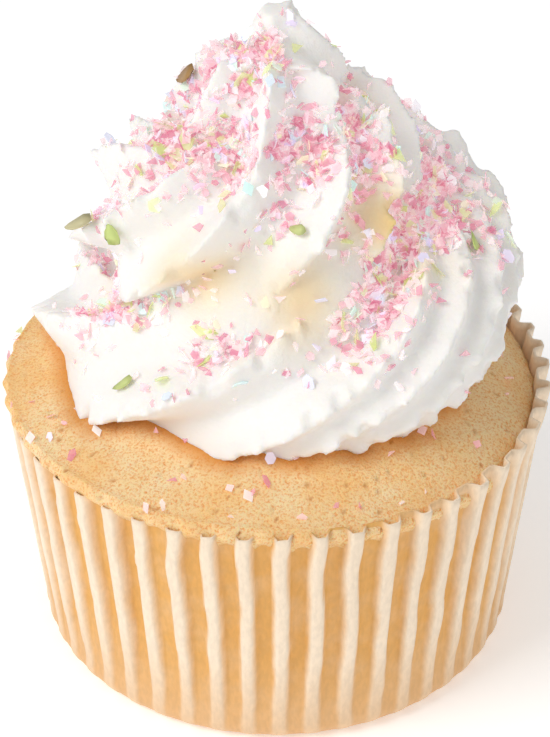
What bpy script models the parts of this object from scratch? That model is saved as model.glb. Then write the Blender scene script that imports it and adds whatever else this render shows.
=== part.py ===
"""A cupcake: a sponge cake baked in a fluted paper case, with a tall piped swirl of icing.

The case stands on z = 0 with its axis on Z, and its front faces -Y. Three closed solids: the
paper case, the domed sponge inside it, and the icing that sits on the dome. Metres, +Z up.
"""

import math

import bmesh
import bpy
import numpy as np

MM = 0.001
TURN = 2 * math.pi

# Clearances between pieces that touch in the real cake.
GAP = 0.3 * MM
EDGE_CLEARANCE = 0.09 * MM  # more between the sponge's edge and the paper
ICING_CLEARANCE = 0.39 * MM

# The paper case: a cup of thin pressed paper with upright flutes.
CASE_HEIGHT = 36.2 * MM
RIM_RADIUS = 35.0 * MM
FOOT_RADIUS = 31.1 * MM  # the wall's slant carried on down to the table
CORNER_RADIUS = 3.0 * MM
PAPER = 0.35 * MM
FLUTES = 48
FLUTE_DEPTH = 1.1 * MM  # at the rim, from where it fades towards the base
LOW_FLUTES, MIDWAY_FLUTES = 0.35, 0.7  # share of that depth above the rounded corner and halfway up
FLUTE_STEPS = ((0.0, 0.0), (0.38, 0.0), (0.56, 1.0), (0.82, 1.0))  # share of the pitch, share of the depth
RIM_LIFT = 0.8 * MM  # the rim stands higher on the side where the cake rose less
RIM_LIFT_ANGLE = math.radians(10)

# The sponge: it fills the case and domes up out of it, further on one side.
EDGE_HEIGHT = 34.8 * MM
EDGE_LIFT = 0.95 * MM
EDGE_LIFT_ANGLE = math.radians(190)
SHOULDER = 1.2 * MM  # height of the rounded edge
OVERHANG = 1.5 * MM  # how far the edge bulges over the rim on its high side
DOME_RISE = 7.1 * MM
CRUMB_REACH = 0.45  # the crumb only fills part of the depth of each flute
RIDGE_MIDDLE = 0.19  # share of a flute's pitch at the middle of the ridge that the crumb fills
DOME_ROWS = (0.96, 0.85, 0.66, 0.4)

# The icing: one coil piped through a star nozzle, laid as a rising, narrowing spiral.
# Each row is the turn reached, then the coil's distance from its axis, height and thickness.
COIL = (
    (-0.34, 17.5 * MM, 43.0 * MM, 2.0 * MM),
    (-0.27, 18.5 * MM, 44.0 * MM, 7.5 * MM),
    (-0.12, 21.5 * MM, 41.5 * MM, 8.5 * MM),
    (0.00, 22.8 * MM, 40.2 * MM, 8.5 * MM),
    (0.12, 22.4 * MM, 42.0 * MM, 9.2 * MM),
    (0.33, 20.8 * MM, 46.1 * MM, 10.2 * MM),
    (0.50, 21.5 * MM, 49.6 * MM, 12.0 * MM),
    (0.66, 19.0 * MM, 54.3 * MM, 12.3 * MM),
    (0.85, 16.0 * MM, 56.2 * MM, 12.0 * MM),
    (1.00, 13.2 * MM, 57.8 * MM, 11.7 * MM),
    (1.13, 14.2 * MM, 59.6 * MM, 12.2 * MM),
    (1.33, 9.8 * MM, 64.0 * MM, 12.6 * MM),
    (1.66, 6.0 * MM, 68.1 * MM, 12.0 * MM),
    (2.00, 4.0 * MM, 72.2 * MM, 10.8 * MM),
    (2.35, 2.8 * MM, 77.6 * MM, 9.3 * MM),
    (2.60, 1.4 * MM, 82.2 * MM, 6.8 * MM),
    (2.75, 0.8 * MM, 88.2 * MM, 2.2 * MM),
)
COIL_START = math.radians(150)
COIL_AXIS = (-0.8 * MM, 3.6 * MM)  # the spiral starts off centre and ends over the cake's middle
AXIS_RETURN = ((1.2, 0.4), (1.5, 0.5))  # share of that offset at turn 0, and its loss in each turn
COIL_RINGS = 300
COIL_SIDES = 180
RIDGE_START = math.radians(-85)
RIDGE_STEPS = (
    40, 40, 42, 42, 45, 47, 63, 45, 21, 19, 17, 22, 28, 32, 33, 32, 31, 42, 36, 46, 35, 33, 37, 43, 45,
    *[50] * 7,
)
RIDGE_TWIST = 1.65  # how fast the ridges wind round the coil
RIDGE_DEPTH = 0.41  # share of the coil's thickness, between ridges of the usual spacing
RIDGE_SHARPNESS = 0.8
USUAL_STEP = math.radians(36)
DEPTH_LIMITS = (0.4, 1.15)  # least and most of that depth, between close and wide ridges
CORE = ((19, 40), (21, 46), (19, 54), (15, 62), (10, 70), (5, 78), (1, 82))  # radius and height in mm
CORE_SIDES = 48
VOXEL = 0.6 * MM
ICING_TRIANGLES = 4200


def clear_scene():
    for obj in list(bpy.data.objects):
        bpy.data.objects.remove(obj)


def material(name, colour, roughness):
    made = bpy.data.materials.new(name)
    made.use_nodes = True
    shader = made.node_tree.nodes["Principled BSDF"]
    shader.inputs["Base Color"].default_value = (*colour, 1.0)
    shader.inputs["Roughness"].default_value = roughness
    shader.inputs["Metallic"].default_value = 0.0
    return made


def add_object(name, points, faces, finish):
    """One object from points and faces, with its normals facing out."""
    mesh = bpy.data.meshes.new(name)
    mesh.from_pydata([tuple(point) for point in points], [], faces)
    shell = bmesh.new()
    shell.from_mesh(mesh)
    bmesh.ops.recalc_face_normals(shell, faces=shell.faces)
    shell.to_mesh(mesh)
    shell.free()
    mesh.materials.append(finish)
    obj = bpy.data.objects.new(name, mesh)
    bpy.context.scene.collection.objects.link(obj)
    return obj


def around(radius, height, angle):
    return (radius * math.cos(angle), radius * math.sin(angle), height)


def ring_faces(rows, count):
    """The quads between each row of points and the next, and a cap on the first and last rows."""
    faces = []
    for row in range(rows - 1):
        for i in range(count):
            j = (i + 1) % count
            faces.append((row * count + i, row * count + j, (row + 1) * count + j, (row + 1) * count + i))
    faces.append(tuple(reversed(range(count))))
    faces.append(tuple(range((rows - 1) * count, rows * count)))
    return faces


def wall_radius(height):
    return FOOT_RADIUS + (RIM_RADIUS - FOOT_RADIUS) * height / CASE_HEIGHT


def rim_height(angle):
    return CASE_HEIGHT + RIM_LIFT * math.cos(angle - RIM_LIFT_ANGLE)


def case_rows():
    """Radius, height and flute share of each row of the case, from the flat base up to the rim."""
    rows = []
    for step in range(3):
        angle = math.radians(45 * step)
        radius = wall_radius(CORNER_RADIUS) - CORNER_RADIUS * (1 - math.sin(angle))
        rows.append((radius, CORNER_RADIUS * (1 - math.cos(angle)), LOW_FLUTES * step / 2))
    rows.append((wall_radius(CASE_HEIGHT / 2), CASE_HEIGHT / 2, MIDWAY_FLUTES))
    rows.append((RIM_RADIUS, CASE_HEIGHT, 1.0))
    return rows


def paper_case():
    flutes = [
        (TURN * (flute + place) / FLUTES, FLUTE_DEPTH * inset)
        for flute in range(FLUTES)
        for place, inset in FLUTE_STEPS
    ]
    rows = case_rows()
    points = []
    for radius, height, share in rows:
        for angle, inset in flutes:
            stretch = rim_height(angle) / CASE_HEIGHT
            points.append(around(radius - inset * share, height * stretch, angle))
    for radius, height, share in reversed(rows):
        for angle, inset in flutes:
            stretch = rim_height(angle) / CASE_HEIGHT
            floor_lift = PAPER * (1 - height / CASE_HEIGHT)
            points.append(around(radius - PAPER - inset * share, height * stretch + floor_lift, angle))
    faces = ring_faces(2 * len(rows), len(flutes))
    finish = material("baking_paper", (0.80, 0.66, 0.45), 0.6)
    return add_object("paper_case", points, faces, finish)


def sponge_top(share, angle):
    """Height of the cake's top at a share of the way out from the middle."""
    edge = EDGE_HEIGHT + EDGE_LIFT * math.cos(angle - EDGE_LIFT_ANGLE) * share**4
    return edge + SHOULDER + DOME_RISE * (1 - share**2) ** 0.8


def sponge():
    count = 2 * FLUTES
    skin = PAPER + GAP
    crest = [1 - CRUMB_REACH, 1.0]  # share of the flute's depth at the outer and the inner points
    angles = [TURN * (i / 2 + RIDGE_MIDDLE) / FLUTES for i in range(count)]
    points = []
    for radius, height, share in case_rows()[:-1]:
        for i, angle in enumerate(angles):
            points.append(around(radius - skin - FLUTE_DEPTH * share * crest[i % 2], height + skin, angle))
    inside = RIM_RADIUS - skin - EDGE_CLEARANCE
    for rise in (0, SHOULDER):
        for i, angle in enumerate(angles):
            high_side = math.cos(angle - EDGE_LIFT_ANGLE)
            bulge = OVERHANG * max(0.0, high_side) ** 2 * rise / SHOULDER
            height = EDGE_HEIGHT + EDGE_LIFT * high_side + rise
            points.append(around(inside - FLUTE_DEPTH * crest[i % 2] + bulge, height, angle))
    for share in DOME_ROWS:
        radius = (inside - FLUTE_DEPTH) * share
        points += [around(radius, sponge_top(share, angle), angle) for angle in angles]
    faces = ring_faces(len(points) // count, count)[:-1]
    top = len(points)
    faces += [(top - count + i, top - count + (i + 1) % count, top) for i in range(count)]
    points.append((0, 0, sponge_top(0, 0)))
    return add_object("sponge", points, faces, material("sponge_cake", (0.72, 0.45, 0.16), 0.85))


def smooth_column(column, turns):
    """One column of COIL read at the given turns, along a smooth curve through its rows."""
    knots = np.array([row[0] for row in COIL])
    values = np.array([row[column] for row in COIL])
    slopes = np.gradient(values, knots)
    left = np.clip(np.searchsorted(knots, turns) - 1, 0, len(knots) - 2)
    span = knots[left + 1] - knots[left]
    s = np.clip((turns - knots[left]) / span, 0, 1)
    ends = (2 * s**3 - 3 * s**2 + 1) * values[left] + (3 * s**2 - 2 * s**3) * values[left + 1]
    return ends + span * ((s**3 - 2 * s**2 + s) * slopes[left] + (s**3 - s**2) * slopes[left + 1])


def star(phase):
    """Share of the full thickness at a phase of the ridges: 1 on a ridge, less in a groove."""
    ridges = RIDGE_START + np.radians(np.concatenate(([0], np.cumsum(RIDGE_STEPS))))
    left = np.clip(np.searchsorted(ridges, phase) - 1, 0, len(ridges) - 2)
    step = ridges[left + 1] - ridges[left]
    across = np.clip((phase - ridges[left]) / step, 0, 1)
    depth = RIDGE_DEPTH * np.clip(step / USUAL_STEP, *DEPTH_LIMITS)
    return 1 - depth * np.sin(math.pi * across) ** RIDGE_SHARPNESS


def coil_shell():
    """The piped coil as rings of points along the spiral, closed at both ends."""
    turns = np.linspace(COIL[0][0], COIL[-1][0], COIL_RINGS)
    angle = COIL_START + TURN * turns
    out, height, thick = (smooth_column(column, turns) for column in (1, 2, 3))
    offsets = [
        offset * np.clip(first - loss * turns, 0, 1)
        for offset, (first, loss) in zip(COIL_AXIS, AXIS_RETURN)
    ]
    centre = np.stack((
        offsets[0] + out * np.cos(angle),
        offsets[1] + out * np.sin(angle),
        height,
    ), axis=-1)
    along = np.gradient(centre, axis=0)
    along /= np.linalg.norm(along, axis=1)[:, None]
    outward = np.stack((np.cos(angle), np.sin(angle), np.zeros_like(angle)), axis=-1)
    outward -= (outward * along).sum(axis=1)[:, None] * along
    outward /= np.linalg.norm(outward, axis=1)[:, None]
    upward = np.cross(outward, along)
    count = COIL_SIDES
    turned = np.linspace(-math.pi, math.pi, count, endpoint=False)
    points = [centre[0]]
    for i in range(len(turns)):
        reach = thick[i] * star(angle[i] - turned / RIDGE_TWIST)
        ring = np.cos(turned)[:, None] * outward[i] + np.sin(turned)[:, None] * upward[i]
        points.extend(centre[i] + reach[:, None] * ring)
    points.append(centre[-1])
    faces = ring_faces(len(turns), count)[:-2]
    faces = [tuple(corner + 1 for corner in face) for face in faces]
    last = 1 + (len(turns) - 1) * count
    for i in range(count):
        j = (i + 1) % count
        faces.append((0, 1 + j, 1 + i))
        faces.append((last + count, last + i, last + j))
    return points, faces


def core_shell():
    """A solid heart that the coil winds round, so that the icing has no hollow inside."""
    angles = [TURN * i / CORE_SIDES for i in range(CORE_SIDES)]
    points = [around(radius * MM, height * MM, angle) for radius, height in CORE for angle in angles]
    return points, ring_faces(len(CORE), CORE_SIDES)


def evaluated_mesh(obj):
    graph = bpy.context.evaluated_depsgraph_get()
    return bpy.data.meshes.new_from_object(obj.evaluated_get(graph))


def lift_off_sponge(mesh):
    """Raises every point that lies in the cake to just above it."""
    reach = RIM_RADIUS - FLUTE_DEPTH - PAPER - GAP
    for vertex in mesh.vertices:
        x, y, z = vertex.co
        share = min(1.0, math.hypot(x, y) / reach)
        vertex.co.z = max(z, sponge_top(share, math.atan2(y, x)) + ICING_CLEARANCE)


def icing():
    points, faces = coil_shell()
    more_points, more_faces = core_shell()
    faces += [tuple(corner + len(points) for corner in face) for face in more_faces]
    points = [*points, *more_points]
    obj = add_object("icing", points, faces, material("buttercream", (0.88, 0.86, 0.80), 0.55))
    join = obj.modifiers.new("join", "REMESH")
    join.mode = "VOXEL"
    join.voxel_size = VOXEL
    obj.data = evaluated_mesh(obj)
    obj.modifiers.remove(join)
    lift_off_sponge(obj.data)
    thin = obj.modifiers.new("thin", "DECIMATE")
    obj.data.calc_loop_triangles()
    thin.ratio = ICING_TRIANGLES / len(obj.data.loop_triangles)
    obj.data = evaluated_mesh(obj)
    obj.modifiers.remove(thin)
    lift_off_sponge(obj.data)
    return obj


clear_scene()
for made in (paper_case(), sponge(), icing()):
    made.data.shade_smooth()
    made.data.set_sharp_from_angle(angle=math.radians(40))
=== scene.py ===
"""A vanilla cupcake in a fluted paper case, with a tall piped swirl of white icing and sugar flakes.

The cake stands on z = 0 with its front towards -Y. Metres, +Z up.
"""

import math

import bmesh
import bpy
import numpy as np
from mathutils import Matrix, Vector, noise
from mathutils.bvhtree import BVHTree


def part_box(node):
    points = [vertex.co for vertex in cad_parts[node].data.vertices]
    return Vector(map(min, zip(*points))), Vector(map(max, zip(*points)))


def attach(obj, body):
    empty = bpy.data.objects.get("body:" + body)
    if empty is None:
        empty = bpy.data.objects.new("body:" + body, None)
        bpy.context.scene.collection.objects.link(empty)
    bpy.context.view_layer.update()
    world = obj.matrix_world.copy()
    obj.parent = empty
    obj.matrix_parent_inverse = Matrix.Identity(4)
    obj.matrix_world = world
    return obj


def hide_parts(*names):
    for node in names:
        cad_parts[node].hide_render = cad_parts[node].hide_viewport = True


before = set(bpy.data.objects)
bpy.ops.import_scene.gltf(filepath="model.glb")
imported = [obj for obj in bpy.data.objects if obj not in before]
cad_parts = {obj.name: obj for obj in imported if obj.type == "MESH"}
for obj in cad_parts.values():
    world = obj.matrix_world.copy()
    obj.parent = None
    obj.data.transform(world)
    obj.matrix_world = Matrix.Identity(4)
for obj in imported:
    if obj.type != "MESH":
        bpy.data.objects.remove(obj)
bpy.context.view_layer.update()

# ---------------------------------------------------------------------------------------------
# Paper case. A disc of greaseproof paper pressed into a cup, its wall gathered into upright
# flutes by the die. Baked on, it is stained golden where it touches the cake and stays pale
# on the flutes, which stand off with air behind them.

mm = 0.001
turn = 2 * math.pi
case_low, case_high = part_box("paper_case")
case_height = 36.2 * mm
rim_radius = case_high[0] - 0.1 * mm
foot_radius = rim_radius - 3.9 * mm
corner_radius = 3.0 * mm
paper_thickness = 0.28 * mm
flutes = 48


def linear(hex_colour):
    """An sRGB hex colour as the linear colour and alpha that a socket takes."""
    channels = [int(hex_colour[i:i + 2], 16) / 255 for i in (1, 3, 5)]
    return (*[c / 12.92 if c <= 0.04045 else ((c + 0.055) / 1.055) ** 2.4 for c in channels], 1.0)


def add(tree, kind, feeds=None, **settings):
    """Adds a node with its settings, and feeds its inputs with values or other nodes' outputs."""
    made = tree.nodes.new(kind)
    for name, value in settings.items():
        setattr(made, name, value)
    for name, feed in (feeds or {}).items():
        if isinstance(feed, bpy.types.NodeSocket):
            tree.links.new(feed, made.inputs[name])
        else:
            made.inputs[name].default_value = feed
    return made


def new_material(name):
    """An empty material, with its node tree and its Principled shader."""
    made = bpy.data.materials.new(name)
    made.use_nodes = True
    return made, made.node_tree, made.node_tree.nodes["Principled BSDF"]


def new_tree(name, sizes):
    """A Geometry Nodes tree with a named input for each size, its input node and its output node."""
    tree = bpy.data.node_groups.new(name, "GeometryNodeTree")
    tree.interface.new_socket("Geometry", in_out="INPUT", socket_type="NodeSocketGeometry")
    for size, value in sizes.items():
        kind = "NodeSocketInt" if isinstance(value, int) else "NodeSocketFloat"
        tree.interface.new_socket(size, in_out="INPUT", socket_type=kind).default_value = value
    tree.interface.new_socket("Geometry", in_out="OUTPUT", socket_type="NodeSocketGeometry")
    return tree, tree.nodes.new("NodeGroupInput"), tree.nodes.new("NodeGroupOutput")


def grow(obj, tree, sizes=None):
    """Runs a Geometry Nodes tree on an object and keeps what it makes as the object's plain mesh."""
    modifier = obj.modifiers.new(tree.name, "NODES")
    modifier.node_group = tree
    for item in tree.interface.items_tree:
        if item.in_out == "INPUT" and item.name in (sizes or {}):
            modifier[item.identifier] = sizes[item.name]
    graph = bpy.context.evaluated_depsgraph_get()
    grown = obj.evaluated_get(graph)
    obj.data = bpy.data.meshes.new_from_object(grown, preserve_all_data_layers=True, depsgraph=graph)
    obj.modifiers.remove(modifier)
    return obj


def new_piece(name, points, faces, material):
    """A piece with its mesh in place, its faces pointing out and shaded smooth."""
    mesh = bpy.data.meshes.new(name)
    mesh.from_pydata([tuple(point) for point in points], [], faces)
    mesh.materials.append(material)
    piece = bpy.data.objects.new(name, mesh)
    bpy.context.scene.collection.objects.link(piece)
    mesh.shade_smooth()
    return piece


def ring_faces(rows, count, first=0):
    """Quads between each ring of points and the next."""
    return [
        (first + row * count + i, first + row * count + (i + 1) % count,
         first + (row + 1) * count + (i + 1) % count, first + (row + 1) * count + i)
        for row in range(rows - 1) for i in range(count)
    ]


def case_profile():
    """Radius and height of the plain cup, from the middle of its base up to the rim."""
    flat = foot_radius + 0.42 * mm - corner_radius
    rows = [(flat * share, 0.0) for share in (0.15, 0.5, 0.8, 1.0)]
    for step in range(1, 9):
        angle = math.radians(90 * step / 8)
        rows.append((flat + corner_radius * math.sin(angle), corner_radius * (1 - math.cos(angle))))
    for step in range(1, 31):
        height = corner_radius + (case_height - corner_radius) * step / 30
        rows.append((foot_radius + (rim_radius - foot_radius) * height / case_height, height))
    return rows


def pleats():
    """Presses a plain cup's wall into flutes: flat ridges and grooves with rounded edges."""
    tree, sizes, out = new_tree("case_pleats", {
        "Flutes": float(flutes), "Depth": 1.3 * mm, "Height": case_height, "Loose rim": 0.5 * mm,
        "Unevenness": 0.07,
    })
    place = add(tree, "GeometryNodeInputPosition").outputs[0]
    split = add(tree, "ShaderNodeSeparateXYZ", {0: place})
    x, y, z = split.outputs
    angle = add(tree, "ShaderNodeMath", {0: y, 1: x}, operation="ARCTAN2").outputs[0]
    level = add(tree, "ShaderNodeMath", {0: z, 1: sizes.outputs["Height"]}, operation="DIVIDE").outputs[0]
    # Each flute wanders a little on its way up, and they aren't all as wide.
    wander = add(tree, "ShaderNodeTexNoise", {"Vector": place, "Scale": 1 / (9 * mm), "Detail": 2.0})
    drift = add(tree, "ShaderNodeMath", {0: wander.outputs[0], 1: 0.5}, operation="SUBTRACT").outputs[0]
    uneven = add(tree, "ShaderNodeMath", {0: drift, 1: sizes.outputs["Unevenness"]}, operation="MULTIPLY")
    uneven = add(tree, "ShaderNodeMath", {0: uneven.outputs[0], 1: 5.0}, operation="MULTIPLY").outputs[0]
    count = add(tree, "ShaderNodeMath", {0: angle, 1: 1 / turn}, operation="MULTIPLY").outputs[0]
    count = add(tree, "ShaderNodeMath", {0: count, 1: sizes.outputs["Flutes"], 2: uneven},
                operation="MULTIPLY_ADD").outputs[0]
    number = add(tree, "ShaderNodeMath", {0: count}, operation="FLOOR").outputs[0]
    across = add(tree, "ShaderNodeMath", {0: count, 1: number}, operation="SUBTRACT").outputs[0]
    fall = add(tree, "ShaderNodeMapRange", {"Value": across, "From Min": 0.30, "From Max": 0.45},
               interpolation_type="SMOOTHSTEP").outputs[0]
    climb = add(tree, "ShaderNodeMapRange", {"Value": across, "From Min": 0.86, "From Max": 1.0},
                interpolation_type="SMOOTHSTEP").outputs[0]
    groove = add(tree, "ShaderNodeMath", {0: fall, 1: climb}, operation="SUBTRACT").outputs[0]
    # The flutes fade towards the base, and no two are as deep.
    grown = add(tree, "ShaderNodeMapRange", {"Value": level, "From Max": 0.5, "To Min": 0.1, "To Max": 0.8},
                interpolation_type="SMOOTHSTEP").outputs[0]
    grown = add(tree, "ShaderNodeMath", {0: level, 1: 0.25, 2: grown}, operation="MULTIPLY_ADD").outputs[0]
    own = add(tree, "FunctionNodeRandomValue", {2: 0.75, 3: 1.2, "ID": number, "Seed": 4},
              data_type="FLOAT").outputs[1]
    depth = add(tree, "ShaderNodeMath", {0: sizes.outputs["Depth"], 1: own}, operation="MULTIPLY").outputs[0]
    depth = add(tree, "ShaderNodeMath", {0: depth, 1: grown}, operation="MULTIPLY").outputs[0]
    inward = add(tree, "ShaderNodeMath", {0: depth, 1: groove}, operation="MULTIPLY").outputs[0]
    # Where the cake rose less, the rim is free and curls outwards.
    loose = add(tree, "ShaderNodeMapRange", {"Value": x, "From Min": 12 * mm, "From Max": 34 * mm}).outputs[0]
    curl = add(tree, "ShaderNodeMapRange", {"Value": level, "From Min": 0.86, "From Max": 1.0},
               interpolation_type="SMOOTHSTEP").outputs[0]
    free = add(tree, "ShaderNodeMath", {0: loose, 1: curl}, operation="MULTIPLY").outputs[0]
    outward = add(tree, "ShaderNodeMath", {0: free, 1: sizes.outputs["Loose rim"]},
                  operation="MULTIPLY").outputs[0]
    shift = add(tree, "ShaderNodeMath", {0: outward, 1: inward}, operation="SUBTRACT").outputs[0]
    flat = add(tree, "ShaderNodeCombineXYZ", {0: x, 1: y}).outputs[0]
    away = add(tree, "ShaderNodeVectorMath", {0: flat}, operation="NORMALIZE").outputs[0]
    move = add(tree, "ShaderNodeVectorMath", {0: away, "Scale": shift}, operation="SCALE").outputs[0]
    moved = add(tree, "GeometryNodeSetPosition", {"Geometry": sizes.outputs[0], "Offset": move})
    # The free rim touched no cake, so it isn't stained.
    stain = add(tree, "ShaderNodeMath", {0: 1.0, 1: free}, operation="SUBTRACT").outputs[0]
    stain = add(tree, "ShaderNodeMath", {0: stain, 1: groove}, operation="MULTIPLY").outputs[0]
    touched = add(tree, "GeometryNodeStoreNamedAttribute",
                  {"Geometry": moved.outputs[0], "Name": "groove", "Value": stain}, data_type="FLOAT")
    tree.links.new(touched.outputs[0], out.inputs[0])
    return tree


def greaseproof_paper():
    """Greaseproof baking paper, calendered smooth and then pressed: a soft sheen, long flecks."""
    made, tree, shader = new_material("greaseproof_paper")
    place = add(tree, "ShaderNodeTexCoord").outputs["Object"]
    groove = add(tree, "ShaderNodeAttribute", attribute_name="groove").outputs["Fac"]
    height = add(tree, "ShaderNodeSeparateXYZ", {0: place}).outputs[2]
    # Cake that soaked the paper from behind, in patches about 4 mm across.
    patches = add(tree, "ShaderNodeTexNoise",
                  {"Vector": place, "Scale": 1 / (4 * mm), "Detail": 3.0}).outputs[0]
    soaked = add(tree, "ShaderNodeMapRange", {"Value": patches, "From Min": 0.3, "From Max": 0.7,
                                              "To Min": 0.85, "To Max": 1.1}).outputs[0]
    stain = add(tree, "ShaderNodeMath", {0: groove, 1: soaked}, operation="MULTIPLY",
                use_clamp=True).outputs[0]
    low = add(tree, "ShaderNodeMapRange", {"Value": height, "From Min": 0.0, "From Max": 15 * mm,
                                           "To Min": 0.0, "To Max": 1.0}).outputs[0]
    golden = add(tree, "ShaderNodeMix", {0: low, 6: linear("#E2B37E"), 7: linear("#E8AF5E")},
                 data_type="RGBA").outputs[2]
    pale = add(tree, "ShaderNodeMix", {0: low, 6: linear("#E8C398"), 7: linear("#FAE6CC")},
               data_type="RGBA").outputs[2]
    colour = add(tree, "ShaderNodeMix", {0: stain, 6: pale, 7: golden}, data_type="RGBA").outputs[2]
    # Short flecks of fibre, drawn 0.5 mm wide so that they show.
    stretch = add(tree, "ShaderNodeMapping", {"Vector": place, "Scale": (1, 1, 0.4)}).outputs[0]
    flecks = add(tree, "ShaderNodeTexNoise",
                 {"Vector": stretch, "Scale": 1 / (0.5 * mm), "Detail": 2.0}).outputs[0]
    fleck = add(tree, "ShaderNodeMapRange", {"Value": flecks, "From Min": 0.35, "From Max": 0.65,
                                             "To Min": 0.94, "To Max": 1.03}).outputs[0]
    colour = add(tree, "ShaderNodeVectorMath", {0: colour, "Scale": fleck}, operation="SCALE").outputs[0]
    tree.links.new(colour, shader.inputs["Base Color"])
    crinkle = add(tree, "ShaderNodeTexNoise",
                  {"Vector": place, "Scale": 1 / (1.2 * mm), "Detail": 4.0}).outputs[0]
    bump = add(tree, "ShaderNodeBump",
               {"Height": crinkle, "Strength": 0.35, "Distance": 0.15 * mm}).outputs[0]
    tree.links.new(bump, shader.inputs["Normal"])
    shader.inputs["Roughness"].default_value = 0.5
    shader.inputs["IOR"].default_value = 1.45
    return made


rows = case_profile()
around = 12 * flutes
points = []
for radius, height in rows:
    for i in range(around):
        angle = turn * i / around
        lift = 1 + 0.8 * mm / case_height * math.cos(angle - math.radians(10))
        lift += 0.006 * noise.noise(Vector((math.cos(angle), math.sin(angle), 3.0)) * 9)
        points.append((radius * math.cos(angle), radius * math.sin(angle), height * lift))
faces = ring_faces(len(rows), around)
points.append((0, 0, 0))
faces += [(len(points) - 1, (i + 1) % around, i) for i in range(around)]
paper = new_piece("pleated_paper", points, faces, greaseproof_paper())
grow(paper, pleats())
wall = paper.modifiers.new("wall", "SOLIDIFY")
wall.thickness = paper_thickness
wall.offset = -1
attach(paper, "root")
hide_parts("paper_case")

# ---------------------------------------------------------------------------------------------
# Sponge. Whisked vanilla batter that rose out of the case while it baked and set with a dry
# golden skin, pricked all over by burst bubbles. Its edge follows the flutes and bulges over
# the rim on the left.

skin = paper_thickness + 0.3 * mm
edge_height = 34.8 * mm
edge_lift = 0.95 * mm
edge_angle = math.radians(190)
shoulder = 1.2 * mm
overhang = 1.5 * mm
flute_depth = 1.1 * mm
dome_rise = 7.1 * mm
inside = rim_radius - skin - flute_depth
top_radius = inside - 0.2 * mm


def dome_height(share, angle):
    """Height of the cake's top at a share of the way from the middle to the edge."""
    edge = edge_height + edge_lift * math.cos(angle - edge_angle) * share**4
    return edge + shoulder + dome_rise * (1 - share**2) ** 0.8


def sponge_rings(count):
    """Rings of radius and height up the side, round the edge and over the dome to the middle."""
    rings = []
    for height in np.linspace(0.7 * mm, edge_height - 2.5 * mm, 8):
        radius = foot_radius + (rim_radius - foot_radius) * height / case_height - 2.6 * mm
        radius -= 3.0 * mm * max(0.0, 1 - height / corner_radius) ** 2
        rings.append([(radius, height)] * count)
    # The edge: it fills the flutes below the rim, and laps over it on the front and left.
    for step in range(11):
        rise = step / 10
        ring = []
        for i in range(count):
            angle = turn * i / count
            high_side = math.cos(angle - edge_angle)
            scallop = 0.5 + 0.5 * math.cos(flutes * angle - 1.0)
            spill = 0.5 + 0.5 * math.cos(angle - math.radians(225))
            bulge = overhang * max(0.0, high_side) ** 2 * math.sin(rise * math.pi / 2)
            tuck = 0.6 * mm * (1 - rise) * scallop + 0.45 * mm * math.sin(math.pi * min(1, rise * 1.6))
            tuck += 0.9 * mm * spill * (1.2 - scallop) * math.sin(math.pi * rise) ** 2
            ragged = 0.45 * mm * noise.noise(Vector((math.cos(angle), math.sin(angle), 0.0)) * 14)
            edge = edge_height + edge_lift * high_side + ragged * (1 - rise)
            edge += 0.9 * mm * spill * math.sin(math.pi * rise * 0.8)
            low = 1.6 * mm * (1 - rise) ** 1.5
            ring.append((top_radius + tuck + bulge, edge + shoulder * rise - low))
        rings.append(ring)
    for share in [*np.linspace(0.985, 0.5, 42), 0.42, 0.33, 0.24, 0.15, 0.07]:
        bulges = [overhang * max(0.0, math.cos(turn * i / count - edge_angle)) ** 2 for i in range(count)]
        rings.append([
            ((top_radius + bulges[i] * share**6) * share, dome_height(share, turn * i / count))
            for i in range(count)
        ])
    return rings


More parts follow.
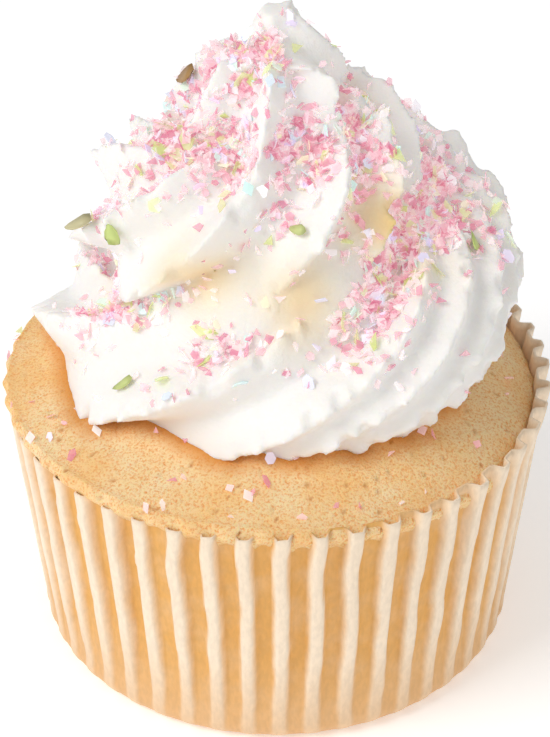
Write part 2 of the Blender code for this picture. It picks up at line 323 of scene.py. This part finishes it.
def crumb():
    """Roughens the baked skin: soft swells, a fine crumb, and pits where bubbles burst."""
    tree, sizes, out = new_tree("crumb", {"Swell": 0.35 * mm, "Grain": 0.26 * mm, "Pit": 0.4 * mm})
    place = add(tree, "GeometryNodeInputPosition").outputs[0]
    away = add(tree, "GeometryNodeInputNormal").outputs[0]
    swell = add(tree, "ShaderNodeTexNoise",
                {"Vector": place, "Scale": 1 / (6 * mm), "Detail": 2.0}).outputs[0]
    grain = add(tree, "ShaderNodeTexNoise", {"Vector": place, "Scale": 1 / (0.9 * mm), "Detail": 3.0,
                                             "Roughness": 0.7}).outputs[0]
    cells = add(tree, "ShaderNodeTexVoronoi", {"Vector": place, "Scale": 1 / (1.4 * mm)})
    pit = add(tree, "ShaderNodeMapRange", {"Value": cells.outputs["Distance"], "From Min": 0.08,
                                           "From Max": 0.30, "To Min": 1.0, "To Max": 0.0},
              interpolation_type="SMOOTHSTEP").outputs[0]
    chance = add(tree, "ShaderNodeSeparateXYZ", {0: cells.outputs["Color"]}).outputs[0]
    burst = add(tree, "ShaderNodeMath", {0: chance, 1: 0.62}, operation="GREATER_THAN").outputs[0]
    pit = add(tree, "ShaderNodeMath", {0: pit, 1: burst}, operation="MULTIPLY").outputs[0]
    swell = add(tree, "ShaderNodeMath", {0: swell, 1: 0.5}, operation="SUBTRACT").outputs[0]
    swell = add(tree, "ShaderNodeMath", {0: swell, 1: sizes.outputs["Swell"]},
                operation="MULTIPLY").outputs[0]
    grain = add(tree, "ShaderNodeMath", {0: grain, 1: 0.5}, operation="SUBTRACT").outputs[0]
    grain = add(tree, "ShaderNodeMath", {0: grain, 1: sizes.outputs["Grain"]},
                operation="MULTIPLY").outputs[0]
    sunk = add(tree, "ShaderNodeMath", {0: pit, 1: sizes.outputs["Pit"]}, operation="MULTIPLY").outputs[0]
    rise = add(tree, "ShaderNodeMath", {0: swell, 1: grain}, operation="ADD").outputs[0]
    rise = add(tree, "ShaderNodeMath", {0: rise, 1: sunk}, operation="SUBTRACT").outputs[0]
    move = add(tree, "ShaderNodeVectorMath", {0: away, "Scale": rise}, operation="SCALE").outputs[0]
    moved = add(tree, "GeometryNodeSetPosition", {"Geometry": sizes.outputs[0], "Offset": move})
    pitted = add(tree, "GeometryNodeStoreNamedAttribute",
                 {"Geometry": moved.outputs[0], "Name": "pit", "Value": pit}, data_type="FLOAT")
    tree.links.new(pitted.outputs[0], out.inputs[0])
    return tree


def baked_crumb():
    """Sponge cake: a dry, matt, golden skin, with painted shade in its pits and on the crust next to the
    icing.
    """
    made, tree, shader = new_material("baked_crumb")
    place = add(tree, "ShaderNodeTexCoord").outputs["Object"]
    broad = add(tree, "ShaderNodeTexNoise",
                {"Vector": place, "Scale": 1 / (7 * mm), "Detail": 3.0}).outputs[0]
    tone = add(tree, "ShaderNodeMapRange", {"Value": broad, "From Min": 0.35, "From Max": 0.65}).outputs[0]
    colour = add(tree, "ShaderNodeMix", {0: tone, 6: linear("#FFD08E"), 7: linear("#FFE2B0")},
                 data_type="RGBA").outputs[2]
    # Open crumb a third of a millimetre across, browner between its grains: partly crumb colour,
    # partly painted shade in the hollows that its bump makes.
    fine = add(tree, "ShaderNodeTexNoise", {"Vector": place, "Scale": 1 / (0.32 * mm), "Detail": 3.0,
                                            "Roughness": 0.65}).outputs[0]
    grain = add(tree, "ShaderNodeMapRange", {"Value": fine, "From Min": 0.31, "From Max": 0.52}).outputs[0]
    colour = add(tree, "ShaderNodeMix", {0: grain, 6: linear("#EFA055"), 7: colour},
                 data_type="RGBA").outputs[2]
    # Painted shade: the burst-bubble pits are coloured brown.
    pit = add(tree, "ShaderNodeAttribute", attribute_name="pit").outputs["Fac"]
    colour = add(tree, "ShaderNodeMix", {0: pit, 6: colour, 7: linear("#D08A44")},
                 data_type="RGBA").outputs[2]
    # Painted shade on the crust next to the icing.
    shade_under_icing = add(tree, "ShaderNodeAttribute", attribute_name="shade_under_icing").outputs["Fac"]
    colour = add(tree, "ShaderNodeMix", {0: shade_under_icing, 6: colour, 7: linear("#E0923F")},
                 data_type="RGBA").outputs[2]
    tree.links.new(colour, shader.inputs["Base Color"])
    bump = add(tree, "ShaderNodeBump", {"Height": fine, "Strength": 0.8, "Distance": 0.26 * mm}).outputs[0]
    tree.links.new(bump, shader.inputs["Normal"])
    shader.inputs["Roughness"].default_value = 0.75
    shader.inputs["IOR"].default_value = 1.4
    shader.inputs["Subsurface Weight"].default_value = 0.3
    shader.inputs["Subsurface Radius"].default_value = (1.0, 0.55, 0.22)
    shader.inputs["Subsurface Scale"].default_value = 1.0 * mm
    return made


count = 12 * flutes
rings = sponge_rings(count)
points = []
for ring in rings:
    for i, (radius, height) in enumerate(ring):
        angle = turn * i / count
        points.append((radius * math.cos(angle), radius * math.sin(angle), height))
faces = ring_faces(len(rings), count)
faces.append(tuple(reversed(range(count))))
points.append((0, 0, dome_height(0, 0)))
top = len(points) - 1
faces += [(top - count + i, top - count + (i + 1) % count, top) for i in range(count)]
cake = new_piece("baked_sponge", points, faces, baked_crumb())
grow(cake, crumb())
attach(cake, "root")
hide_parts("sponge")

# ---------------------------------------------------------------------------------------------
# Icing. Stiff white buttercream piped in one go through a large star nozzle: a ring round the
# cake's top that climbs into a spiral and is pulled away to a point. The nozzle's teeth leave
# sharp ridges whose edges tear as the icing bends, and the grooves between stay smooth.

# The turn reached, and there the coil's distance from its axis, height and thickness.
coil = (
    (-0.34, 17.5, 43.0, 2.0), (-0.27, 18.5, 44.0, 7.5), (-0.12, 21.5, 41.5, 8.5), (0.00, 22.8, 40.2, 8.5),
    (0.12, 22.4, 42.0, 9.2), (0.33, 20.8, 46.1, 10.2), (0.50, 21.5, 49.6, 12.0), (0.66, 19.0, 54.3, 12.3),
    (0.85, 16.0, 56.2, 12.0), (1.00, 13.2, 57.8, 11.7), (1.13, 14.2, 59.6, 12.2), (1.33, 9.8, 64.0, 12.6),
    (1.66, 6.0, 68.1, 12.0), (2.00, 4.0, 72.2, 10.8), (2.35, 2.8, 77.6, 9.3), (2.60, 1.4, 82.2, 6.8),
    (2.75, 0.8, 88.2, 2.2),
)
coil_start = math.radians(150)
coil_axis = (-0.8, 3.6)
ridge_start = math.radians(-85)
ridge_steps = (40, 40, 42, 42, 45, 47, 63, 45, 21, 19, 17, 22, 28, 32, 33, 32, 31, 42, 36, 46, 35, 33, 37,
               43, 45, *[50] * 7)
ridge_twist = 1.65
ridge_depth = 0.41
ridge_sharpness = 0.8
usual_step = math.radians(36)
icing_voxel = 0.46 * mm
coil_rings = 760
coil_sides = 260
chance = np.random.default_rng(7)


def smooth_column(column, turns):
    """One column of the coil's table at the given turns, along a smooth curve through its rows."""
    knots = np.array([row[0] for row in coil])
    values = np.array([row[column] for row in coil]) * mm
    slopes = np.gradient(values, knots)
    left = np.clip(np.searchsorted(knots, turns) - 1, 0, len(knots) - 2)
    span = knots[left + 1] - knots[left]
    s = np.clip((turns - knots[left]) / span, 0, 1)
    ends = (2 * s**3 - 3 * s**2 + 1) * values[left] + (3 * s**2 - 2 * s**3) * values[left + 1]
    return ends + span * ((s**3 - 2 * s**2 + s) * slopes[left] + (s**3 - s**2) * slopes[left + 1])


ridges = ridge_start + np.radians(np.concatenate(([0], np.cumsum(ridge_steps))))
tear_length = 0.9 * mm
tear_depth = 0.2
tear_narrowness = 7
tears_along = 400
tears = chance.random((len(ridges), tears_along))


def star(phase, run):
    """Share of the full thickness at a phase of the ridges: torn at a ridge, less in a groove."""
    left = np.clip(np.searchsorted(ridges, phase) - 1, 0, len(ridges) - 2)
    step = ridges[left + 1] - ridges[left]
    across = np.clip((phase - ridges[left]) / step, 0, 1)
    depth = ridge_depth * np.clip(step / usual_step, 0.4, 1.15)
    ridge = np.where(across < 0.5, left, left + 1)
    torn = tears[ridge, int(run / tear_length) % tears_along]
    crest = np.maximum(0, 1 - tear_narrowness * np.minimum(across, 1 - across))
    return 1 - depth * np.sin(math.pi * across) ** ridge_sharpness - tear_depth * torn**2 * crest


def piped_coil():
    """The coil as rings of points along the spiral, closed at both ends."""
    turns = np.linspace(coil[0][0], coil[-1][0], coil_rings)
    angle = coil_start + turn * turns
    out, height, thick = (smooth_column(column, turns) for column in (1, 2, 3))
    centre = np.stack((
        coil_axis[0] * mm * np.clip(1.2 - turns / 2.5, 0, 1) + out * np.cos(angle),
        coil_axis[1] * mm * np.clip(1.5 - turns / 2, 0, 1) + out * np.sin(angle),
        height,
    ), axis=-1)
    along = np.gradient(centre, axis=0)
    run = np.cumsum(np.linalg.norm(along, axis=1))
    along /= np.linalg.norm(along, axis=1)[:, None]
    outward = np.stack((np.cos(angle), np.sin(angle), np.zeros_like(angle)), axis=-1)
    outward -= (outward * along).sum(axis=1)[:, None] * along
    outward /= np.linalg.norm(outward, axis=1)[:, None]
    upward = np.cross(outward, along)
    count = coil_sides
    turned = np.linspace(-math.pi, math.pi, count, endpoint=False)
    points = [centre[0]]
    for i in range(len(turns)):
        reach = thick[i] * star(angle[i] - turned / ridge_twist, run[i])
        ring = np.cos(turned)[:, None] * outward[i] + np.sin(turned)[:, None] * upward[i]
        points.extend(centre[i] + reach[:, None] * ring)
    points.append(centre[-1])
    faces = ring_faces(len(turns), count, 1)
    last = 1 + (len(turns) - 1) * count
    for i in range(count):
        j = (i + 1) % count
        faces.append((0, 1 + j, 1 + i))
        faces.append((last + count, last + i, last + j))
    return points, faces


def icing_heart(first):
    """A solid heart that the coil winds round."""
    profile = ((19, 40), (21, 46), (19, 54), (15, 62), (10, 70), (5, 78), (1, 82))
    count = 48
    points = [
        (r * mm * math.cos(turn * i / count), r * mm * math.sin(turn * i / count), h * mm)
        for r, h in profile for i in range(count)
    ]
    faces = ring_faces(len(profile), count, first)
    faces.append(tuple(first + i for i in reversed(range(count))))
    faces.append(tuple(first + len(points) - count + i for i in range(count)))
    return points, faces


def whipped_grain():
    """Gives the piped skin the fine grain and soft swells of whipped fat, and evens out its shading."""
    tree, sizes, out = new_tree("whipped_grain", {"Grain": 0.2 * mm, "Swell": 0.45 * mm})
    place = add(tree, "GeometryNodeInputPosition").outputs[0]
    away = add(tree, "GeometryNodeInputNormal").outputs[0]
    rise = None
    for size, width in (("Grain", 0.8 * mm), ("Swell", 5 * mm)):
        lumps = add(tree, "ShaderNodeTexNoise",
                    {"Vector": place, "Scale": 1 / width, "Detail": 2.0}).outputs[0]
        lumps = add(tree, "ShaderNodeMath", {0: lumps, 1: 0.5}, operation="SUBTRACT").outputs[0]
        lumps = add(tree, "ShaderNodeMath", {0: lumps, 1: sizes.outputs[size], 2: rise or 0.0},
                    operation="MULTIPLY_ADD").outputs[0]
        rise = lumps
    move = add(tree, "ShaderNodeVectorMath", {0: away, "Scale": rise}, operation="SCALE").outputs[0]
    shape = add(tree, "GeometryNodeSetPosition", {"Geometry": sizes.outputs[0], "Offset": move}).outputs[0]
    for name in ("deep", "warm", "catch"):
        rough = add(tree, "GeometryNodeInputNamedAttribute", {"Name": name}, data_type="FLOAT").outputs[0]
        even = add(tree, "GeometryNodeBlurAttribute", {0: rough, "Iterations": 3},
                   data_type="FLOAT").outputs[0]
        shape = add(tree, "GeometryNodeStoreNamedAttribute",
                    {"Geometry": shape, "Name": name, "Value": even}, data_type="FLOAT").outputs[0]
    tree.links.new(shape, out.inputs[0])
    return tree


def buttercream():
    """Buttercream: whipped fat and sugar, satin and slightly translucent, with painted warm shade in its
    grooves.
    """
    made, tree, shader = new_material("buttercream")
    place = add(tree, "ShaderNodeTexCoord").outputs["Object"]
    # Painted shade: the more shut in the skin is, the darker and warmer its colour, deepest in the grooves.
    deep = add(tree, "ShaderNodeAttribute", attribute_name="deep").outputs["Fac"]
    painted_shade = add(tree, "ShaderNodeMapRange", {"Value": deep, "From Min": 0.3, "From Max": 0.9,
                                            "To Max": 0.35}).outputs[0]
    colour = add(tree, "ShaderNodeMix", {0: painted_shade, 6: linear("#FBF7F2"), 7: linear("#F7E3BC")},
                 data_type="RGBA").outputs[2]
    # Painted warm shade in the valleys between two turns, at the listed spots.
    warm = add(tree, "ShaderNodeAttribute", attribute_name="warm").outputs["Fac"]
    colour = add(tree, "ShaderNodeMix", {0: warm, 6: colour, 7: linear("#F6D288")},
                 data_type="RGBA").outputs[2]
    tree.links.new(colour, shader.inputs["Base Color"])
    fine = add(tree, "ShaderNodeTexNoise",
               {"Vector": place, "Scale": 1 / (0.5 * mm), "Detail": 3.0}).outputs[0]
    bump = add(tree, "ShaderNodeBump", {"Height": fine, "Strength": 0.6, "Distance": 0.14 * mm}).outputs[0]
    tree.links.new(bump, shader.inputs["Normal"])
    shader.inputs["Roughness"].default_value = 0.5
    shader.inputs["IOR"].default_value = 1.45
    shader.inputs["Subsurface Weight"].default_value = 0.4
    shader.inputs["Subsurface Radius"].default_value = (1.0, 0.8, 0.55)
    shader.inputs["Subsurface Scale"].default_value = 1.0 * mm
    return made


points, faces = piped_coil()
heart_points, heart_faces = icing_heart(len(points))
icing = new_piece("piped_icing", [*points, *heart_points], faces + heart_faces, buttercream())
shell = bmesh.new()
shell.from_mesh(icing.data)
bmesh.ops.recalc_face_normals(shell, faces=shell.faces)
shell.to_mesh(icing.data)
shell.free()
join = icing.modifiers.new("join", "REMESH")
join.mode = "VOXEL"
join.voxel_size = icing_voxel
join.use_smooth_shade = True
graph = bpy.context.evaluated_depsgraph_get()
icing.data = bpy.data.meshes.new_from_object(icing.evaluated_get(graph))
icing.modifiers.remove(join)
for vertex in icing.data.vertices:
    x, y, z = vertex.co
    share = min(1.0, math.hypot(x, y) / inside)
    vertex.co.z = max(z, dome_height(share, math.atan2(y, x)) - 0.25 * mm)


def by_spots(place, spots):
    """How much of the given spots falls on a place. A spot is its bearing, height, spread and strength."""
    bearing, out = math.atan2(place.y, place.x), math.hypot(place.x, place.y)
    total = 0.0
    for spot_bearing, height, spread, strength in spots:
        aside = (bearing - math.radians(spot_bearing) + math.pi) % turn - math.pi
        away = ((out * aside) ** 2 + (place.z - height * mm) ** 2) / (spread * mm) ** 2
        total += strength * math.exp(-away)
    return total


def shut_in(tree, place, away, reach):
    """Share of the directions out of a place on a skin that meet the skin again within reach."""
    side = away.orthogonal().normalized()
    other = away.cross(side)
    met = 0
    for step in range(14):
        lean = math.radians(25 if step < 5 else 62)
        spin = turn * step / (5 if step < 5 else 9)
        ray = away * math.cos(lean) + (side * math.cos(spin) + other * math.sin(spin)) * math.sin(lean)
        met += tree.ray_cast(place + away * 0.3 * mm, ray, reach)[0] is not None
    return met / 14


# Where the flakes landed thickest, and where warm shade is painted in the valleys: bearing in degrees,
# height and spread in mm, and strength.
flake_spots = (
    (-162, 50.5, 4.5, 0.8), (-150, 50.5, 3.5, 0.5), (-121, 51, 4.5, 1.0), (-108, 54, 4, 0.7),
    (-64, 54.5, 4.5, 1.2), (-52, 60, 4.5, 1.2), (-84, 76, 4.5, 1.2), (-88, 69.5, 4.5, 1.0),
    (-18, 71.5, 4, 1.3), (-38, 69, 4, 1.1), (9, 62, 4.5, 1.4), (-12, 58.5, 4.5, 1.1),
    (-145, 76, 5, 1.0), (-152, 71, 4.5, 0.6), (170, 70, 5.5, 0.7), (-160, 61, 4, 0.35),
    (-120, 82, 4.5, 0.8), (-100, 87, 3.5, 1.2), (175, 78, 4.5, 0.8), (-170, 64, 4, 0.5), (3, 58, 4, 0.35),
    (-105, 64, 4, 0.3), (45, 66, 5, 0.6), (75, 58, 5, 0.7),
    (100, 70, 5, 0.8), (125, 60, 5, 0.7), (150, 52, 5, 0.5), (60, 78, 4, 0.5),
)
warm_shade_spots = (
    (-122, 60.5, 4.5, 0.65), (-80, 58.5, 4.5, 0.65), (-33, 64.5, 4, 1.1), (120, 64, 4, 0.7), (60, 60, 4, 0.6),
)
skin_tree = BVHTree.FromPolygons(
    [vertex.co for vertex in icing.data.vertices], [face.vertices for face in icing.data.polygons])
# How shut in each point is sets the painted shade in the grooves and where flakes catch; the warm spots set
# painted warm shade.
deep, warm, catch = [], [], []
for vertex in icing.data.vertices:
    depth = shut_in(skin_tree, vertex.co, vertex.normal, 9 * mm)
    groove = min(1.0, max(0.0, (depth - 0.17) / 0.25))
    facing = min(1.0, max(0.0, 0.35 + vertex.normal.z + 0.4 * vertex.normal.xy.length))
    deep.append(depth)
    warm.append(min(1.0, by_spots(vertex.co, warm_shade_spots)))
    catch.append(min(1.5, 0.03 + by_spots(vertex.co, flake_spots)) * (0.04 + 0.96 * groove) * facing)
for name, values in (("deep", deep), ("warm", warm), ("catch", catch)):
    icing.data.attributes.new(name, "FLOAT", "POINT").data.foreach_set("value", values)
grow(icing, whipped_grain())
# Painted shade: the crust within 2.6 mm of the icing, in its shadow, is coloured browner.
nearest = [skin_tree.find_nearest(v.co, 4 * mm)[3] for v in cake.data.vertices]
cake.data.attributes.new("shade_under_icing", "FLOAT", "POINT").data.foreach_set(
    "value", [0.0 if near is None else max(0.0, 1 - near / (2.6 * mm)) for near in nearest])
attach(icing, "root")
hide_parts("icing")

# ---------------------------------------------------------------------------------------------
# Sugar flakes. Thin sheets of coloured sugar and edible film, broken small and sprinkled on
# while the icing was wet. They lie thickest in the grooves, on edge and overlapping: clear
# pinks, pearly squares that flash lilac and green, and a few larger lime shards.

cake.data.attributes.new("catch", "FLOAT", "POINT").data.foreach_set(
    "value", [0.006 if v.co.z > edge_height + shoulder else 0.0 for v in cake.data.vertices])

def sprinkle(name, corners, sizes, material):
    """Scatters thin broken sheets, with the given numbers of corners, where icing and cake catch them."""
    tree, fed, out = new_tree(name, {
        "Per square metre": 1.0e6, "Length": 1.6 * mm, "Narrowest": 0.35, "Thickness": 0.09 * mm,
        "Lean": 1.0, "Break": 0.5 * mm, "Seed": 1,
    })
    ground = add(tree, "GeometryNodeObjectInfo", {"Object": cake}).outputs["Geometry"]
    both = add(tree, "GeometryNodeJoinGeometry")
    tree.links.new(ground, both.inputs[0])
    tree.links.new(fed.outputs[0], both.inputs[0])
    caught = add(tree, "GeometryNodeInputNamedAttribute", {"Name": "catch"}, data_type="FLOAT").outputs[0]
    many = add(tree, "ShaderNodeMath", {0: caught, 1: fed.outputs["Per square metre"]},
               operation="MULTIPLY").outputs[0]
    spread = add(tree, "GeometryNodeDistributePointsOnFaces",
                 {"Mesh": both.outputs[0], "Density": many, "Seed": fed.outputs["Seed"]})
    half = add(tree, "ShaderNodeMath", {0: fed.outputs["Length"], 1: 0.5}, operation="MULTIPLY").outputs[0]
    shapes = add(tree, "GeometryNodeJoinGeometry")
    for sides in corners:
        sheet = add(tree, "GeometryNodeMeshCylinder",
                    {"Vertices": sides, "Radius": half, "Depth": fed.outputs["Thickness"]}).outputs[0]
        one = add(tree, "GeometryNodeGeometryToInstance", {0: sheet}).outputs[0]
        tree.links.new(one, shapes.inputs[0])
    lean = add(tree, "ShaderNodeMath", {0: fed.outputs["Lean"], 1: -1.0}, operation="MULTIPLY").outputs[0]
    low = add(tree, "ShaderNodeCombineXYZ", {0: lean, 1: lean, 2: 0.0}).outputs[0]
    high = add(tree, "ShaderNodeCombineXYZ",
               {0: fed.outputs["Lean"], 1: fed.outputs["Lean"], 2: turn}).outputs[0]
    turned = add(tree, "FunctionNodeRandomValue", {0: low, 1: high, "Seed": fed.outputs["Seed"]},
                 data_type="FLOAT_VECTOR").outputs[0]
    turned = add(tree, "FunctionNodeEulerToRotation", {0: turned}).outputs[0]
    laid = add(tree, "FunctionNodeRotateRotation", {0: spread.outputs["Rotation"], 1: turned},
               rotation_space="LOCAL").outputs[0]
    least = add(tree, "ShaderNodeCombineXYZ", {0: 0.45, 1: fed.outputs["Narrowest"], 2: 1.0}).outputs[0]
    size = add(tree, "FunctionNodeRandomValue", {0: least, 1: (1.3, 0.95, 1.0), "Seed": 5},
               data_type="FLOAT_VECTOR").outputs[0]
    pick = add(tree, "FunctionNodeRandomValue", {4: 0, 5: len(corners) - 1, "Seed": 8},
               data_type="INT").outputs[2]
    sheets = add(tree, "GeometryNodeInstanceOnPoints", {
        "Points": spread.outputs["Points"], "Instance": shapes.outputs[0], "Pick Instance": True,
        "Instance Index": pick, "Rotation": laid, "Scale": size})
    proud = add(tree, "FunctionNodeRandomValue", {2: 0.05 * mm, 3: 0.75 * mm, "Seed": 11},
                data_type="FLOAT").outputs[1]
    lift = add(tree, "ShaderNodeVectorMath", {0: (0, 0, 1), "Scale": proud}, operation="SCALE").outputs[0]
    lifted = add(tree, "GeometryNodeTranslateInstances",
                 {"Instances": sheets.outputs[0], "Translation": lift, "Local Space": False}).outputs[0]
    tint = add(tree, "FunctionNodeRandomValue", {2: 0.0, 3: 1.0, "Seed": 3}, data_type="FLOAT").outputs[1]
    tinted = add(tree, "GeometryNodeStoreNamedAttribute", {"Geometry": lifted, "Name": "tint", "Value": tint},
                 data_type="FLOAT", domain="INSTANCE").outputs[0]
    real = add(tree, "GeometryNodeRealizeInstances", {0: tinted}).outputs[0]
    place = add(tree, "GeometryNodeInputPosition").outputs[0]
    chip = add(tree, "ShaderNodeTexNoise",
               {"Vector": place, "Scale": 1 / (1.1 * mm), "Detail": 1.0}).outputs[1]
    chip = add(tree, "ShaderNodeVectorMath", {0: chip, 1: (0.5, 0.5, 0.5)}, operation="SUBTRACT").outputs[0]
    chip = add(tree, "ShaderNodeVectorMath", {0: chip, "Scale": fed.outputs["Break"]},
               operation="SCALE").outputs[0]
    broken = add(tree, "GeometryNodeSetPosition", {"Geometry": real, "Offset": chip}).outputs[0]
    flat = add(tree, "GeometryNodeSetShadeSmooth", {"Geometry": broken, "Shade Smooth": False}).outputs[0]
    dressed = add(tree, "GeometryNodeSetMaterial", {"Geometry": flat, "Material": material}).outputs[0]
    tree.links.new(dressed, out.inputs[0])
    piece = bpy.data.objects.new(name, icing.data.copy())
    bpy.context.scene.collection.objects.link(piece)
    grow(piece, tree, sizes)
    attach(piece, "root")


def clear_sugar(name, shades, body, gloss):
    """Boiled sugar rolled thin: glassy and see-through, with a painted glow, in the shades given."""
    made, tree, shader = new_material(name)
    tint = add(tree, "ShaderNodeAttribute", attribute_name="tint").outputs["Fac"]
    ramp = add(tree, "ShaderNodeValToRGB", {0: tint})
    ramp.color_ramp.elements.remove(ramp.color_ramp.elements[1])
    ramp.color_ramp.elements[0].color = linear(shades[0])
    for step, shade in enumerate(shades[1:], 1):
        ramp.color_ramp.elements.new(step / (len(shades) - 1)).color = linear(shade)
    tree.links.new(ramp.outputs[0], shader.inputs["Base Color"])
    shader.inputs["Roughness"].default_value = gloss
    shader.inputs["IOR"].default_value = 1.5
    shader.inputs["Alpha"].default_value = body
    # Painted glow: each flake gives off light in its own shade, in place of the light scattered inside it.
    tree.links.new(ramp.outputs[0], shader.inputs["Emission Color"])
    shader.inputs["Emission Strength"].default_value = 0.17
    return made


sprinkle("pink_flakes", (4, 5, 3), {"Per square metre": 6.5e6, "Length": 1.7 * mm, "Seed": 2}, clear_sugar(
    "pink_sugar", ("#FFFBFB", "#FFF0F2", "#FDDFE5", "#F7C0CE", "#E486A7"), 0.45, 0.25))
sprinkle("pearl_flakes", (4, 6), {
    "Per square metre": 0.7e6, "Length": 1.9 * mm, "Narrowest": 0.7, "Break": 0.15 * mm, "Seed": 12,
}, clear_sugar("pearl_film", ("#FFFFFF", "#EFE4FF", "#DDF9F4", "#FFFBE0", "#F9DDF6"), 0.7, 0.12))
sprinkle("lime_flakes", (4, 3, 5), {
    "Per square metre": 0.25e6, "Length": 2.6 * mm, "Narrowest": 0.3, "Seed": 21,
}, clear_sugar("lime_sugar", ("#F7FAD8", "#EBF3B4", "#D6E690", "#E6DDB4"), 0.5, 0.25))

# ---------------------------------------------------------------------------------------------
# Dried petals. A few larger scraps, 3 to 5 mm long, curled as they dried and stuck on among the
# flakes: one brown-gold, the rest olive and lime.

# Each one's bearing and turn in degrees, then its distance from the axis, height, length and
# width in mm, and its place on the colour ramp.
petals = (
    (168, 95, 10.0, 77.6, 4.4, 2.3, 0.0), (-163, 60, 23.5, 61.3, 4.4, 2.4, 0.3),
    (-154, 20, 20.9, 62.7, 3.6, 2.0, 0.9), (-137, 50, 25.2, 46.3, 3.2, 1.5, 0.8),
    (-14, 35, 23.2, 58.3, 4.0, 2.4, 1.0), (-79, -50, 15.0, 67.0, 2.6, 1.4, 0.7),
    (95, 10, 20.0, 62.0, 4.0, 2.2, 0.9), (40, -30, 18.0, 68.0, 3.4, 2.0, 0.3),
)


def dried_petal():
    """Dried petal and leaf: thin, matt, from brown-gold through olive to lime."""
    made, tree, shader = new_material("dried_petal")
    tint = add(tree, "ShaderNodeAttribute", attribute_name="tint").outputs["Fac"]
    ramp = add(tree, "ShaderNodeValToRGB", {0: tint})
    ramp.color_ramp.elements[0].color = linear("#A8804A")
    ramp.color_ramp.elements[1].color = linear("#C9DC80")
    ramp.color_ramp.elements.new(0.3).color = linear("#CFC69A")
    tree.links.new(ramp.outputs[0], shader.inputs["Base Color"])
    shader.inputs["Roughness"].default_value = 0.45
    return made


points, faces, tints = [], [], []
sides = 10
drop = 25
thickness = 0.15 * mm
for bearing, spin, distance, height, length, width, tint in petals:
    away = Vector((math.cos(math.radians(bearing)), math.sin(math.radians(bearing)), 0))
    # Each petal came down at a slant on the first icing in its way.
    fall = (away * -0.64 + Vector((0, 0, -0.77))).normalized()
    spot = away * distance * mm + Vector((0, 0, height * mm))
    place, lean, _, _ = skin_tree.ray_cast(spot - fall * drop * mm, fall)
    long_way = away.cross(lean).normalized() if abs(away.dot(lean)) < 0.99 else Vector((0, 0, 1))
    long_way = long_way * math.cos(math.radians(spin)) + lean.cross(long_way) * math.sin(math.radians(spin))
    short_way = lean.cross(long_way)
    first = len(points)
    for level in (0.0, thickness):
        for i in range(sides):
            angle = turn * i / sides
            reach = 1 - 0.2 * chance.random()
            along = 0.5 * length * mm * math.cos(angle) * reach
            across = 0.5 * width * mm * math.sin(angle) * (1 - 0.35 * math.cos(angle)) * reach
            curl = 0.3 * mm + level + 0.25 * (along**2 + 4 * across**2) / (0.5 * length * mm)
            points.append(place + along * long_way + across * short_way + curl * lean)
    faces.append(tuple(first + i for i in reversed(range(sides))))
    faces.append(tuple(first + sides + i for i in range(sides)))
    faces += ring_faces(2, sides, first)
    tints += [tint] * (2 * sides)
scraps = new_piece("dried_petals", points, faces, dried_petal())
scraps.data.attributes.new("tint", "FLOAT", "POINT").data.foreach_set("value", tints)
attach(scraps, "root")

# ---------------------------------------------------------------------------------------------
# Studio: a white table that runs on as the backdrop, a big soft light from the upper left, a weak
# one from the right and a bright room, seen from the front and above with a long lens.


def table_white():
    """A matt white acrylic table, lit a little from below so that it reads as plain white."""
    made, tree, shader = new_material("white_table")
    place = add(tree, "ShaderNodeTexCoord").outputs["Object"]
    mottle = add(tree, "ShaderNodeTexNoise", {"Vector": place, "Scale": 40.0, "Detail": 2.0}).outputs[0]
    shade = add(tree, "ShaderNodeMapRange", {"Value": mottle, "To Min": 0.94, "To Max": 0.96}).outputs[0]
    tree.links.new(shade, shader.inputs["Base Color"])
    shader.inputs["Roughness"].default_value = 0.8
    shader.inputs["Emission Color"].default_value = (1, 1, 1, 1)
    shader.inputs["Emission Strength"].default_value = 0.3
    return made


half = 3.0
floor = new_piece("table", [(-half, -half, 0), (half, -half, 0), (half, half, 0), (-half, half, 0)],
                  [(0, 1, 2, 3)], table_white())


def soft_light(name, place, size, watts, aim):
    """A square soft box at a place, turned to its aim."""
    lamp = bpy.data.lights.new(name, "AREA")
    lamp.size = size
    lamp.energy = watts
    holder = bpy.data.objects.new(name, lamp)
    holder.location = place
    holder.rotation_euler = (Vector(aim) - Vector(place)).to_track_quat("-Z", "Y").to_euler()
    bpy.context.scene.collection.objects.link(holder)


soft_light("key", (-0.95, -0.57, 1.15), 0.8, 12.5, (0, 0, 0.05))
soft_light("fill", (0.5, -0.6, 0.4), 0.8, 0.8, (0, 0, 0.05))
world = bpy.data.worlds.new("room")
world.use_nodes = True
world.node_tree.nodes["Background"].inputs["Color"].default_value = (1, 1, 1, 1)
world.node_tree.nodes["Background"].inputs["Strength"].default_value = 0.46
bpy.context.scene.world = world
bpy.context.scene.view_settings.view_transform = "Standard"

camera = bpy.data.cameras.new("camera")
camera.sensor_width = 24.0
camera.lens = 83.0
camera.shift_x = -0.00186
camera.clip_start = 0.01
tripod = bpy.data.objects.new("camera", camera)
elevation = math.radians(35.2)
aim = Vector((0, 0, 36.65 * mm))
back = Vector((0, -math.cos(elevation), math.sin(elevation)))
tripod.location = aim + 0.330 * back
tripod.rotation_euler = (-back).to_track_quat("-Z", "Y").to_euler()
bpy.context.scene.collection.objects.link(tripod)
bpy.context.scene.camera = tripod
